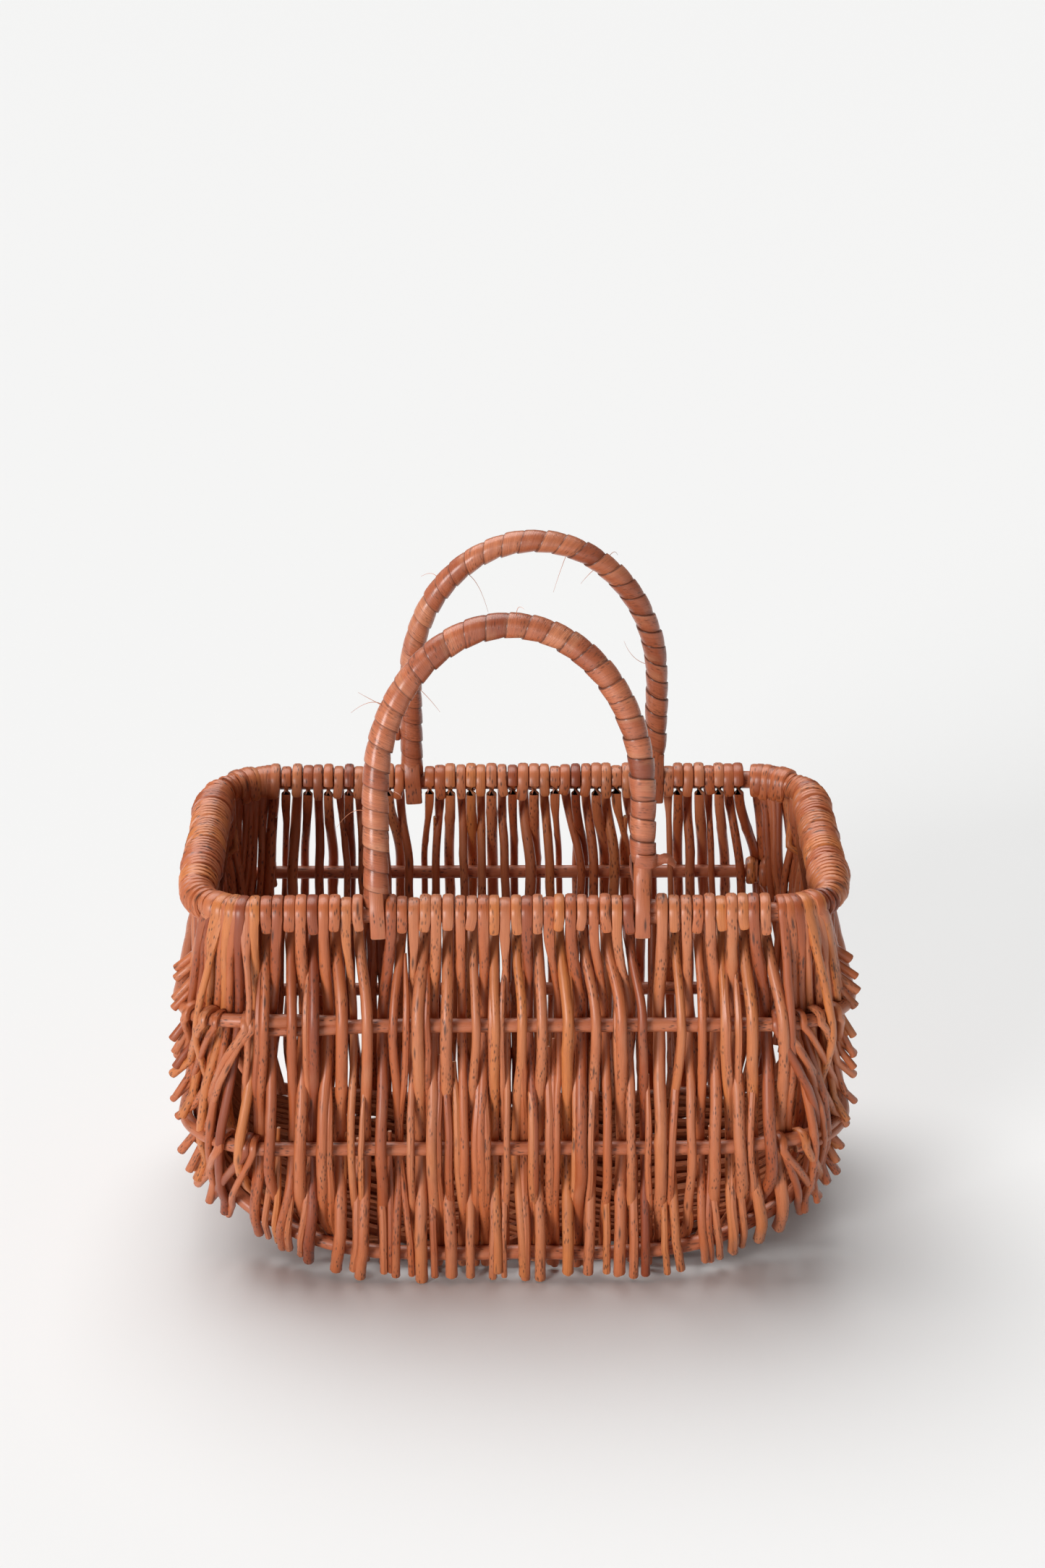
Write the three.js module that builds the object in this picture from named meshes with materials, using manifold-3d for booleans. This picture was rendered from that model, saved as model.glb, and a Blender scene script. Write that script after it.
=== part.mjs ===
// Wicker log basket: a rounded willow body with two upright, skein-wrapped bow handles.
//
// Frame: millimetres, +Z up, +X along the length of the basket, -Y its front.
// The origin is on the floor, below the middle of the basket.
//
// The woven rods are modelled in bundles. A bundle is a strip that follows the course of the rods it
// stands for, over the rim and in and out of the rings. A place on the wall is given by two numbers:
// along, the distance round the wall from the middle of its long side, and height.

import * as THREE from 'three';
import Module from 'manifold-3d';
import { mergeVertices } from 'three/addons/utils/BufferGeometryUtils.js';

const wasm = await Module();
wasm.setup();

const { lerp, clamp, smoothstep } = THREE.MathUtils;

// ---------- driving dimensions ----------

const gap = 0.4; // kept between neighbouring pieces
const ringClearance = 1; // between a ring or a bow and the rods woven round it

const rimHeight = 250; // middle of the rim hoop
const upperRingHeight = 180;
const lowerRingHeight = 95;
const bowHeight = 17; // lowest stretch of the two bows, and the reach of the cut rod ends below it

const hoopRadius = 6;
const ringRadius = 4.5;
const bowRadius = 4.5;
const bottomRibRadius = 4;
const stripThickness = 3.6; // one layer of rods

// Outline of the wall, through the middle of its thickness, at a few heights.
const wallSections = [
  { height: 0, halfLength: 150, halfDepth: 112.5, corner: 75 },
  { height: bowHeight, halfLength: 157, halfDepth: 113.5, corner: 75 },
  { height: 26, halfLength: 171, halfDepth: 115, corner: 75 },
  { height: 37, halfLength: 184, halfDepth: 116.5, corner: 74 },
  { height: 60, halfLength: 201, halfDepth: 119.5, corner: 70 },
  { height: lowerRingHeight, halfLength: 209, halfDepth: 124, corner: 60 },
  { height: upperRingHeight, halfLength: 209, halfDepth: 127, corner: 50 },
  { height: rimHeight, halfLength: 196, halfDepth: 116, corner: 38 },
];

// Course of a bow over the wall, from the middle of its run to its tip: [along, height].
const bowCourse = [
  [0, bowHeight],
  [60, bowHeight],
  [95, 19],
  [143, 28],
  [181, 42],
  [204, 64],
  [213, 95],
  [217, 140],
  [215, upperRingHeight],
  [210, 212],
  [206, 233],
];

const frontHandleX = -3.3; // the two handles aren't quite opposite each other
const backHandleX = 14;
const handleReach = 81; // half the distance between the legs of a handle
const handleLeg = 75; // straight part of a leg, above the rim
const handleTop = 175; // middle of the crown, above the rim
const handleLean = 28; // how far the crown leans over the basket
const handleCoreRadius = 5.5;
const handleWrapRadius = 8.5;
const forkWidth = 13; // the fork with which a leg sits astride the rim hoop
const forkThickness = 4;
const forkReach = 15; // depth of its prongs below the middle of the rim
const forkTop = 18; // its top above the middle of the rim
const legBend = 45; // height above the rim up to which a leg is quite straight

const endWrapRadius = 13.5; // the wound rim at the middle of an end
const endWrapCornerRadius = 10; // and where it begins at a corner
const endWrapStart = 159; // place along the rim where the winding begins
const endWrapTaper = 60; // length over which it reaches its full thickness

const bottomStripCount = 6;
const bottomStripRows = 44; // steps along a lengthwise strip
const bottomRibRows = [-6, -2, 2, 6]; // where the bottom ribs cross it, in steps from the middle
const bottomRibHalfLength = 92;
const bottomStripEdge = 18; // from a bow to the outermost lengthwise strip
const bottomStripTop = 0.985; // share of the bow's course that it covers

// Legs of the two handles, and the edges of the bundles along the rim, two of which fall on them.
const frontLegs = [frontHandleX - handleReach, frontHandleX + handleReach];
const backLegs = [backHandleX - handleReach, backHandleX + handleReach];
const frontEdges = [-158, -122, frontLegs[0], -44, -3.3, 37.4, frontLegs[1], 118, 158];
const backEdges = [-158, -113, backLegs[0], -26, 14, 55, backLegs[1], 127, 158];
const cornerEdges = [159, 171, 183, 195];
const cornerFootShare = 0.93; // the last corner bundle crosses the bow this far along its course
const footSpread = 0.108; // share by which the bundles nearest the corners spread towards the bow
const tabReach = 9; // how far a rod's short end hangs below the middle of the rim
const slotHeights = [190, 228]; // between these the room beside a handle leg closes again

// ---------- materials ----------

function willow(name, color, roughness) {
  return new THREE.MeshStandardMaterial({ name, color, roughness, metalness: 0 });
}

const rodMaterial = willow('willow_rod', 0xb8754f, 0.5);
const frameMaterial = willow('willow_frame', 0x9a5b3c, 0.55);
const skeinMaterial = willow('willow_skein', 0xa9623f, 0.4);

// ---------- the wall ----------

function sectionAt(height) {
  const last = wallSections.length - 1;
  let i = 1;
  while (i < last && wallSections[i].height < height) {
    i += 1;
  }
  const below = wallSections[i - 1];
  const above = wallSections[i];
  const share = clamp((height - below.height) / (above.height - below.height), 0, 1);
  return {
    halfLength: lerp(below.halfLength, above.halfLength, share),
    halfDepth: lerp(below.halfDepth, above.halfDepth, share),
    corner: lerp(below.corner, above.corner, share),
  };
}

// Places along the wall where a straight stretch or a corner ends, from front to back.
function breaksAt(height) {
  const { halfLength, halfDepth, corner } = sectionAt(height);
  const flat = halfLength - corner;
  const arc = (Math.PI / 2) * corner;
  const end = 2 * (halfDepth - corner);
  return [flat, flat + arc, flat + arc + end, flat + 2 * arc + end, 2 * flat + 2 * arc + end];
}

// A point of the wall's middle and the level direction out of it. Side -1 measures along from the
// middle of the front, side 1 from the middle of the back.
function wallAt(along, height, side) {
  const { halfLength, halfDepth, corner } = sectionAt(height);
  const [flatEnd, cornerEnd, endEnd, backCornerEnd, half] = breaksAt(height);
  const way = Math.min(Math.abs(along), half);
  let x = halfLength;
  let y = way - (cornerEnd + endEnd) / 2;
  let turn = Math.PI / 2; // from facing forward, round to facing back
  if (way <= flatEnd) {
    x = way;
    y = -halfDepth;
    turn = 0;
  } else if (way <= cornerEnd) {
    turn = (way - flatEnd) / corner;
    x = flatEnd + corner * Math.sin(turn);
    y = corner - halfDepth - corner * Math.cos(turn);
  } else if (way > backCornerEnd) {
    x = half - way;
    y = halfDepth;
    turn = Math.PI;
  } else if (way > endEnd) {
    turn = Math.PI / 2 + (way - endEnd) / corner;
    x = flatEnd + corner * Math.sin(turn);
    y = halfDepth - corner - corner * Math.cos(turn);
  }
  const hand = Math.sign(along);
  return {
    point: new THREE.Vector3(hand * x, -side * y, height),
    out: new THREE.Vector3(hand * Math.sin(turn), side * Math.cos(turn), 0),
  };
}

// The direction square to the wall, which slopes in towards the bottom.
function squareTo(along, height, side) {
  const reach = 6;
  const above = wallAt(along, height + reach, side).point;
  const below = wallAt(along, height - reach, side).point;
  const level = wallAt(along, height, side).out;
  const up = above.sub(below).normalize();
  return level.addScaledVector(up, -level.dot(up)).normalize();
}

// ---------- making and bending geometry ----------

// Moves every vertex of a geometry and joins the vertices that share a place.
function bend(geometry, move) {
  const position = geometry.attributes.position;
  const vertex = new THREE.Vector3();
  for (let i = 0; i < position.count; i += 1) {
    vertex.fromBufferAttribute(position, i);
    const moved = move(vertex);
    position.setXYZ(i, moved.x, moved.y, moved.z);
  }
  geometry.deleteAttribute('normal');
  geometry.deleteAttribute('uv');
  return facingOut(mergeVertices(geometry, 1e-3));
}

// Turns the faces round if a move has mirrored the shape.
function facingOut(geometry) {
  const { position } = geometry.attributes;
  const corners = geometry.index.array;
  const a = new THREE.Vector3();
  const b = new THREE.Vector3();
  const c = new THREE.Vector3();
  let volume = 0;
  for (let i = 0; i < corners.length; i += 3) {
    a.fromBufferAttribute(position, corners[i]);
    b.fromBufferAttribute(position, corners[i + 1]);
    c.fromBufferAttribute(position, corners[i + 2]);
    volume += a.dot(b.cross(c));
  }
  if (volume < 0) {
    for (let i = 0; i < corners.length; i += 3) {
      [corners[i + 1], corners[i + 2]] = [corners[i + 2], corners[i + 1]];
    }
  }
  return geometry;
}

function polygonPoints(radius, sides) {
  const points = [];
  for (let i = 0; i < sides; i += 1) {
    const turn = (2 * Math.PI * (i + 0.5)) / sides;
    points.push(new THREE.Vector2(radius * Math.cos(turn), radius * Math.sin(turn)));
  }
  return points;
}

// A round rod along an open curve; with a bore, a sleeve round another rod.
function rod(extrudePath, radius, steps, bore = 0) {
  const sides = 8;
  const shape = new THREE.Shape(polygonPoints(radius, sides));
  if (bore > 0) {
    shape.holes.push(new THREE.Path(polygonPoints(bore, sides).reverse()));
  }
  const geometry = new THREE.ExtrudeGeometry(shape, { steps, extrudePath, bevelEnabled: false });
  return bend(geometry, (vertex) => vertex);
}

// Places along both corners of one end of the wall, close enough together to follow them.
function cornerPlaces(height) {
  const cornerSteps = 6;
  const [flatEnd, cornerEnd, endEnd, backCornerEnd] = breaksAt(height);
  const places = [];
  for (let i = 0; i <= cornerSteps; i += 1) {
    places.push(lerp(flatEnd, cornerEnd, i / cornerSteps));
  }
  for (let i = 0; i <= cornerSteps; i += 1) {
    places.push(lerp(endEnd, backCornerEnd, i / cornerSteps));
  }
  return places;
}

// A closed hoop that follows the wall at one height.
function hoop(height, radius) {
  const places = [0, ...cornerPlaces(height), breaksAt(height)[4]];
  const steps = 2 * (places.length - 1);
  const tube = 0.25; // the plain ring's own tube radius, before it is moved
  return bend(new THREE.TorusGeometry(1, tube, 8, steps), (vertex) => {
    const index = Math.round((Math.atan2(vertex.y, vertex.x) / (2 * Math.PI)) * steps);
    const along = Math.sign(index) * places[Math.abs(index)];
    const { point, out } = wallAt(along || Number.EPSILON, height, -1);
    const outwards = ((Math.hypot(vertex.x, vertex.y) - 1) / tube) * radius;
    point.addScaledVector(out, outwards);
    point.z += (vertex.z / tube) * radius;
    return point;
  });
}

const basket = new THREE.Group();

function add(name, geometry, material) {
  const mesh = new THREE.Mesh(geometry, material.clone());
  mesh.name = name;
  basket.add(mesh);
}

// ---------- hoops, bows and bottom ribs ----------

function addHoops() {
  add('rim_hoop', hoop(rimHeight, hoopRadius), frameMaterial);
  add('upper_ring', hoop(upperRingHeight, ringRadius), frameMaterial);
  add('lower_ring', hoop(lowerRingHeight, ringRadius), frameMaterial);
}

const courseCurve = new THREE.CatmullRomCurve3(
  bowCourse.map(([along, height]) => new THREE.Vector3(along, height, 0)),
  false,
  'centripetal',
);

// A place on a bow's course; share runs from -1 at the left tip to 1 at the right tip.
function courseAt(share) {
  const place = courseCurve.getPointAt(Math.abs(share));
  return { along: Math.sign(share) * place.x, height: Math.max(place.y, bowHeight) };
}

class BowCurve extends THREE.Curve {
  constructor(side) {
    super();
    this.side = side;
  }

  getPoint(t, target = new THREE.Vector3()) {
    const place = courseAt(2 * t - 1);
    const along = place.along || Number.EPSILON;
    const behindRings = (ringRadius + bowRadius + gap) * smoothstep(place.height, 40, 85);
    target.copy(wallAt(along, place.height, this.side).point);
    return target.addScaledVector(squareTo(along, place.height, this.side), -behindRings);
  }
}

function addBows() {
  const steps = 48;
  add('front_bow', rod(new BowCurve(-1), bowRadius, steps), frameMaterial);
  add('back_bow', rod(new BowCurve(1), bowRadius, steps), frameMaterial);
}

// Share of the bow's course at a row of a lengthwise strip, counted from the middle.
function bottomRowShare(row) {
  return (2 * bottomStripTop * row) / bottomStripRows;
}

function addBottomRibs() {
  bottomRibRows.forEach((row, i) => {
    const { along, height } = courseAt(bottomRowShare(row));
    const { x } = wallAt(along, height, -1).point;
    const ends = new THREE.LineCurve3(
      new THREE.Vector3(x, -bottomRibHalfLength, height),
      new THREE.Vector3(x, bottomRibHalfLength, height),
    );
    add(`bottom_rib_${i + 1}`, rod(ends, bottomRibRadius, 1), frameMaterial);
  });
}

// ---------- bundles of rods on the wall ----------

const overRing = ringRadius + ringClearance + stripThickness / 2; // middle of a strip beside a ring
const overHoop = hoopRadius + gap + stripThickness / 2;

// A strip from the rim to just past the bow. It has columns across its width, each with its own
// course: from topEdges at the rim to footShares on the bow. leg is 1 where the strip runs down
// outside the hoop and -1 inside; it then passes each ring on the other side from the last.
function wallStrip({ side, topEdges, footShares, leg, insets, columns, woven }) {
  const hookSteps = woven ? 5 : 0;
  const stretchSteps = woven ? 5 : 4; // between one ring and the next
  const courseSteps = 3 * stretchSteps;
  const rows = hookSteps + courseSteps + 1;
  const topHeight = woven ? rimHeight : rimHeight - endWrapRadius - gap;
  const nearFoot = 0.97; // share of the course from which a cut end runs straight on

  function columnCourse(across) {
    const share = lerp(footShares[0], footShares[1], across);
    const bow = courseAt(share);
    return {
      top: lerp(topEdges[0], topEdges[1], across),
      inset: lerp(insets[0], -insets[1], across),
      bow,
    };
  }

  function weave(height, bowAt) {
    if (!woven) {
      return overRing + ringClearance;
    }
    const stations = [rimHeight, upperRingHeight, lowerRingHeight, bowAt];
    let i = 0;
    while (i < 2 && height < stations[i + 1]) {
      i += 1;
    }
    const share = clamp((stations[i] - height) / (stations[i] - stations[i + 1]), 0, 1);
    const from = (i % 2 === 0 ? leg : -leg) * (i === 0 ? overHoop : overRing);
    const to = (i % 2 === 0 ? -leg : leg) * overRing;
    return lerp(from, to, (1 - Math.cos(Math.PI * share)) / 2);
  }

  // Share of the way to the bow at a row, so that some rows fall on the rings.
  function rowShare(course, row) {
    const stations = [topHeight, upperRingHeight, lowerRingHeight, course.bow.height];
    const stretch = Math.min(Math.floor(row / stretchSteps), 2);
    const within = row / stretchSteps - stretch;
    const height = lerp(stations[stretch], stations[stretch + 1], within);
    return (topHeight - height) / (topHeight - course.bow.height);
  }

  // Middle of the strip and the direction of its thickness, at a share of the way to the bow.
  function onCourse(course, share) {
    const height = lerp(topHeight, course.bow.height, share);
    const slot = course.inset * smoothstep(height, ...slotHeights);
    const along = lerp(course.top, course.bow.along, share) + slot;
    const square = squareTo(along, height, side);
    const middle = wallAt(along, height, side).point;
    return { middle: middle.addScaledVector(square, weave(height, course.bow.height)), square };
  }

  const box = new THREE.BoxGeometry(1, 1, 1, columns, 1, rows);
  return bend(box, ({ x, y, z }) => {
    const course = columnCourse(x + 0.5);
    const row = Math.round((z + 0.5) * rows);
    const thick = y * stripThickness;
    if (row < hookSteps) {
      const { point, out } = wallAt(course.top + course.inset, rimHeight, side);
      const turn = Math.PI * (1 - Math.max(row - 1, 0) / (hookSteps - 1));
      const reach = overHoop + thick;
      point.addScaledVector(out, leg * reach * Math.cos(turn));
      point.z += row === 0 ? -tabReach : reach * Math.sin(turn);
      return point;
    }
    const share = woven ? rowShare(course, row - hookSteps) : row / courseSteps;
    const outwards = thick * (woven ? leg : 1);
    if (row < rows) {
      const { middle, square } = onCourse(course, share);
      return middle.addScaledVector(square, outwards);
    }
    const last = onCourse(course, 1);
    const before = onCourse(course, nearFoot);
    const direction = last.middle.clone().sub(before.middle).normalize();
    const level = wallAt(course.bow.along, course.bow.height, side).out;
    const foot = last.middle.addScaledVector(direction, bowHeight);
    if (Math.abs(course.bow.height - bowHeight) < 1) {
      foot.z = 0;
    }
    return foot.addScaledVector(level, outwards);
  });
}

function footShare(along) {
  const straight = frontEdges[frontEdges.length - 1];
  const spread = footSpread * (along / straight) ** 2;
  return (along * (1 + spread)) / courseCurve.getLength();
}

function addWallStrips(name, side, edges, legs) {
  const between = gap / 2;
  const slot = forkWidth / 2 + 2 * gap;
  const curvedFrom = 100; // beyond this the bow rises, and a bundle follows it with two columns
  for (let i = 0; i < edges.length - 1; i += 1) {
    const low = edges[i] + between;
    const high = edges[i + 1] - between;
    add(`${name}_${i + 1}`, wallStrip({
      side,
      topEdges: [low, high],
      footShares: [footShare(low), footShare(high)],
      leg: i % 2 === 0 ? 1 : -1,
      insets: [legs.includes(edges[i]) ? slot : 0, legs.includes(edges[i + 1]) ? slot : 0],
      columns: Math.max(Math.abs(low), Math.abs(high)) > curvedFrom ? 2 : 1,
      woven: true,
    }), rodMaterial);
  }
}

function addCornerStrips(name, side, hand) {
  const edgeShare = footShare(cornerEdges[0]);
  const between = 0.001; // half the gap between two bundles, as a share of the bow's course
  const count = cornerEdges.length - 1;
  for (let i = 0; i < count; i += 1) {
    const low = lerp(edgeShare, cornerFootShare, i / count) + between;
    const high = lerp(edgeShare, cornerFootShare, (i + 1) / count) - between;
    add(`${name}_${i + 1}`, wallStrip({
      side,
      topEdges: [hand * (cornerEdges[i] + gap), hand * (cornerEdges[i + 1] - gap)],
      footShares: [hand * low, hand * high],
      leg: 1,
      insets: [0, 0],
      columns: 4,
      woven: false,
    }), rodMaterial);
  }
}

// ---------- lengthwise bundles: down one end, along the bottom and up the other end ----------

function bottomStrip(index) {
  const first = index % 2 === 0 ? 1 : -1;
  const lowShare = (2 * index) / bottomStripCount - 1;
  const highShare = (2 * (index + 1)) / bottomStripCount - 1;
  const ribPitch = bottomRibRows[1] - bottomRibRows[0];
  const lastRib = bottomRibRows[bottomRibRows.length - 1];
  const besideRib = bottomRibRadius + gap + stripThickness / 2;

  // In and out of the bottom ribs, then inside the rings at both ends.
  function outwardsAt(row) {
    const under = first * besideRib * Math.cos((Math.PI * (row - lastRib)) / ribPitch);
    if (Math.abs(row) <= lastRib) {
      return under;
    }
    const atRib = first * besideRib * Math.cos((Math.PI * (Math.sign(row) - 1) * lastRib) / ribPitch);
    return lerp(atRib, -overRing, smoothstep(Math.abs(row), lastRib, lastRib + ribPitch - 1));
  }

  return bend(new THREE.BoxGeometry(1, 1, 1, 1, 1, bottomStripRows), ({ x, y, z }) => {
    const row = z * bottomStripRows;
    const share = bottomRowShare(row);
    const step = 0.01;
    const here = courseAt(share);
    const { point } = wallAt(here.along || Number.EPSILON, here.height, -1);
    const next = courseAt(clamp(share + step, -1, 1));
    const last = courseAt(clamp(share - step, -1, 1));
    const ahead = wallAt(next.along || Number.EPSILON, next.height, -1).point;
    const behind = wallAt(last.along || Number.EPSILON, last.height, -1).point;
    for (const near of [ahead, behind]) {
      const end = Math.sign(near.x) * sectionAt(near.z).halfLength;
      near.x = lerp(near.x, end, smoothstep(near.z, 50, 95));
    }
    const down = new THREE.Vector3(ahead.z - behind.z, 0, behind.x - ahead.x).normalize();
    const depth = -point.y - bottomStripEdge;
    const edge = x < 0 ? lowShare * depth + gap / 2 : highShare * depth - gap / 2;
    const { halfLength } = sectionAt(here.height);
    point.x = lerp(point.x, Math.sign(point.x) * halfLength, smoothstep(here.height, 50, 95));
    point.y = edge;
    return point.addScaledVector(down, outwardsAt(row) + y * stripThickness);
  });
}

function addBottomStrips() {
  for (let i = 0; i < bottomStripCount; i += 1) {
    add(`bottom_weavers_${i + 1}`, bottomStrip(i), rodMaterial);
  }
}

// ---------- wound rim at the two ends ----------

// A sleeve round the rim hoop, thickest at the middle of the end.
function endWrap(hand) {
  const half = breaksAt(rimHeight)[4];
  const places = cornerPlaces(rimHeight);
  places[0] = endWrapStart;
  places[places.length - 1] = half - endWrapStart;
  const bore = hoopRadius + gap;
  const outer = places.map((place) => {
    const inwards = Math.min(place, half - place) - endWrapStart;
    const thickness = smoothstep(inwards, 0, endWrapTaper);
    return new THREE.Vector2(lerp(endWrapCornerRadius, endWrapRadius, thickness), place);
  });
  const inner = places.map((place) => new THREE.Vector2(bore, place)).reverse();
  const profile = [...outer, ...inner, outer[0].clone()];
  return bend(new THREE.LatheGeometry(profile, 8), (vertex) => {
    const { point, out } = wallAt(hand * vertex.y, rimHeight, -1);
    point.addScaledVector(out, vertex.x);
    point.z += vertex.z;
    return point;
  });
}

// ---------- handles ----------

function handleCurve(side, middle) {
  const { halfDepth } = sectionAt(rimHeight);
  const place = (x, up) => new THREE.Vector3(
    middle + x,
    side * (halfDepth - (handleLean * up) / handleTop),
    rimHeight + up,
  );
  const points = [place(-handleReach, forkTop - 1), place(-handleReach, legBend)];
  const archSteps = 12;
  for (let i = 0; i <= archSteps; i += 1) {
    const turn = Math.PI * (1 - i / archSteps);
    points.push(place(
      handleReach * Math.cos(turn),
      handleLeg + (handleTop - handleLeg) * Math.sin(turn),
    ));
  }
  points.push(place(handleReach, legBend), place(handleReach, forkTop - 1));
  return new THREE.CatmullRomCurve3(points, false, 'centripetal');
}

// The split foot of a leg: one prong outside the rim hoop and one inside.
function fork(side, x) {
  const inside = hoopRadius + gap;
  const outside = inside + forkThickness;
  const outline = new THREE.Shape([
    new THREE.Vector2(-outside, -forkReach),
    new THREE.Vector2(-inside, -forkReach),
    new THREE.Vector2(-inside, inside),
    new THREE.Vector2(inside, inside),
    new THREE.Vector2(inside, -forkReach),
    new THREE.Vector2(outside, -forkReach),
    new THREE.Vector2(outside, forkTop),
    new THREE.Vector2(-outside, forkTop),
  ]);
  const block = new THREE.ExtrudeGeometry(outline, { depth: forkWidth, bevelEnabled: false });
  const { halfDepth } = sectionAt(rimHeight);
  return bend(block, (vertex) => new THREE.Vector3(
    x + vertex.z - forkWidth / 2,
    side * halfDepth + vertex.x,
    rimHeight + vertex.y,
  ));
}

function solid(geometry) {
  return new wasm.Manifold(new wasm.Mesh({
    numProp: 3,
    vertProperties: new Float32Array(geometry.attributes.position.array),
    triVerts: new Uint32Array(geometry.index.array),
  }));
}

function joined(...geometries) {
  const mesh = geometries.map(solid).reduce((whole, piece) => whole.add(piece)).getMesh();
  const geometry = new THREE.BufferGeometry();
  geometry.setAttribute('position', new THREE.BufferAttribute(new Float32Array(mesh.vertProperties), 3));
  geometry.setIndex(new THREE.BufferAttribute(new Uint32Array(mesh.triVerts), 1));
  return geometry;
}

function addHandle(name, side, middle) {
  const curve = handleCurve(side, middle);
  const coreSteps = 24;
  const core = rod(curve, handleCoreRadius, coreSteps);
  const forks = [-handleReach, handleReach].map((x) => fork(side, middle + x));
  add(`${name}_handle_core`, joined(core, ...forks), frameMaterial);
  const bare = 0.006; // share of the rod left uncovered beside each fork
  const wrapSteps = 22;
  const wrapped = [];
  for (let i = 0; i <= wrapSteps; i += 1) {
    wrapped.push(curve.getPointAt(lerp(bare, 1 - bare, i / wrapSteps)));
  }
  const covered = new THREE.CatmullRomCurve3(wrapped, false, 'centripetal');
  const bore = handleCoreRadius + 2 * gap;
  add(`${name}_handle_wrap`, rod(covered, handleWrapRadius, wrapSteps, bore), skeinMaterial);
}

// ---------- the basket ----------

addHoops();
addBows();
addBottomRibs();
addWallStrips('front_stakes', -1, frontEdges, frontLegs);
addWallStrips('back_stakes', 1, backEdges, backLegs);
addCornerStrips('front_left_fan', -1, -1);
addCornerStrips('front_right_fan', -1, 1);
addCornerStrips('back_left_fan', 1, -1);
addCornerStrips('back_right_fan', 1, 1);
addBottomStrips();
add('left_rim_wrap', endWrap(-1), rodMaterial);
add('right_rim_wrap', endWrap(1), rodMaterial);
addHandle('front', -1, frontHandleX);
addHandle('back', 1, backHandleX);

export default basket;
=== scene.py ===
import random
from math import copysign, cos, exp, pi, radians, sin, tan
import bpy
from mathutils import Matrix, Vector


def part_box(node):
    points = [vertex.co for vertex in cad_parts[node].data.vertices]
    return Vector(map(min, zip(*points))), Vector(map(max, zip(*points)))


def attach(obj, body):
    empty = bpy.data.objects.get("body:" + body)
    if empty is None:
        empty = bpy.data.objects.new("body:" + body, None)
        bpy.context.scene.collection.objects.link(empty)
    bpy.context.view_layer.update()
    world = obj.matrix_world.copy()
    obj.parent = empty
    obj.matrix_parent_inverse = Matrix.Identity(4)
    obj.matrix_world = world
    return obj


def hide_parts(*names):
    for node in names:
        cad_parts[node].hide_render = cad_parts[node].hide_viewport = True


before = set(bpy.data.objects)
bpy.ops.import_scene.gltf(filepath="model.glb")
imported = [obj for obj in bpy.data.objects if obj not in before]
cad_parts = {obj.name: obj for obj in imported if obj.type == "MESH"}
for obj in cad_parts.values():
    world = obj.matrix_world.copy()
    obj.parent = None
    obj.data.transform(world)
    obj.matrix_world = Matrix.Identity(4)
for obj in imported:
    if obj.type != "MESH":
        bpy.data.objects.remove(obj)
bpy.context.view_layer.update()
print("frame loaded:", len(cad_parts), "nodes")

# Lengths below are in millimetres. addPiece turns them into metres.
# A place on the wall is its distance along the wall from the middle of the long side, and its height.
# side is -1 for the front and 1 for the back.


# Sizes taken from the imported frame

def boxOf(node):
    low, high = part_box(node)
    return low * 1000, high * 1000


def middleOf(node):
    low, high = boxOf(node)
    return (low + high) / 2


def ringSizes(node):
    low, high = boxOf(node)
    radius = (high.z - low.z) / 2
    return {"height": (low.z + high.z) / 2, "radius": radius,
            "halfLength": high.x - radius, "halfDepth": high.y - radius}


rim = ringSizes("rim_hoop")
upperRing = ringSizes("upper_ring")
lowerRing = ringSizes("lower_ring")

wall = {
    "rimCorner": 38, "upperCorner": 50, "lowerCorner": 60,
    # below the lower ring: height, then half length and half depth as shares of the ring's, then corner
    "foot": [(0, 0.718, 0.907, 75), (17, 0.751, 0.915, 75), (26, 0.818, 0.927, 75),
             (37, 0.880, 0.940, 74), (60, 0.962, 0.964, 70)],
}

bow = {
    "radius": 4.5,
    # along the wall, height: from the middle of the run to the tip
    "course": [(0, 17), (60, 17), (95, 19), (143, 28), (181, 42), (204, 64), (213, 95), (217, 140),
               (215, 180), (210, 212), (206, 233)],
    "inside": 9.4,  # its risers pass this far inside the wall
}

wallSections = [
    (height, lowerRing["halfLength"] * length, lowerRing["halfDepth"] * depth, corner)
    for height, length, depth, corner in wall["foot"]
] + [
    (ring["height"], ring["halfLength"], ring["halfDepth"], corner)
    for ring, corner in [(lowerRing, wall["lowerCorner"]), (upperRing, wall["upperCorner"]),
                         (rim, wall["rimCorner"])]
]


def lerp(a, b, share):
    return a + (b - a) * share


def shares(count):
    return [i / count for i in range(count + 1)]


def smooth(value, low=0.0, high=1.0):
    share = min(max((value - low) / (high - low), 0.0), 1.0)
    return share * share * (3 - 2 * share)


def sectionAt(height):
    index = 1
    while index < len(wallSections) - 1 and wallSections[index][0] < height:
        index += 1
    below = wallSections[index - 1]
    above = wallSections[index]
    share = min(max((height - below[0]) / (above[0] - below[0]), 0.0), 1.0)
    return [lerp(below[i], above[i], share) for i in (1, 2, 3)]


def breaksAt(height):
    halfLength, halfDepth, corner = sectionAt(height)
    flat = halfLength - corner
    arc = pi / 2 * corner
    end = 2 * (halfDepth - corner)
    return [flat, flat + arc, flat + arc + end, flat + 2 * arc + end, 2 * flat + 2 * arc + end]


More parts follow.
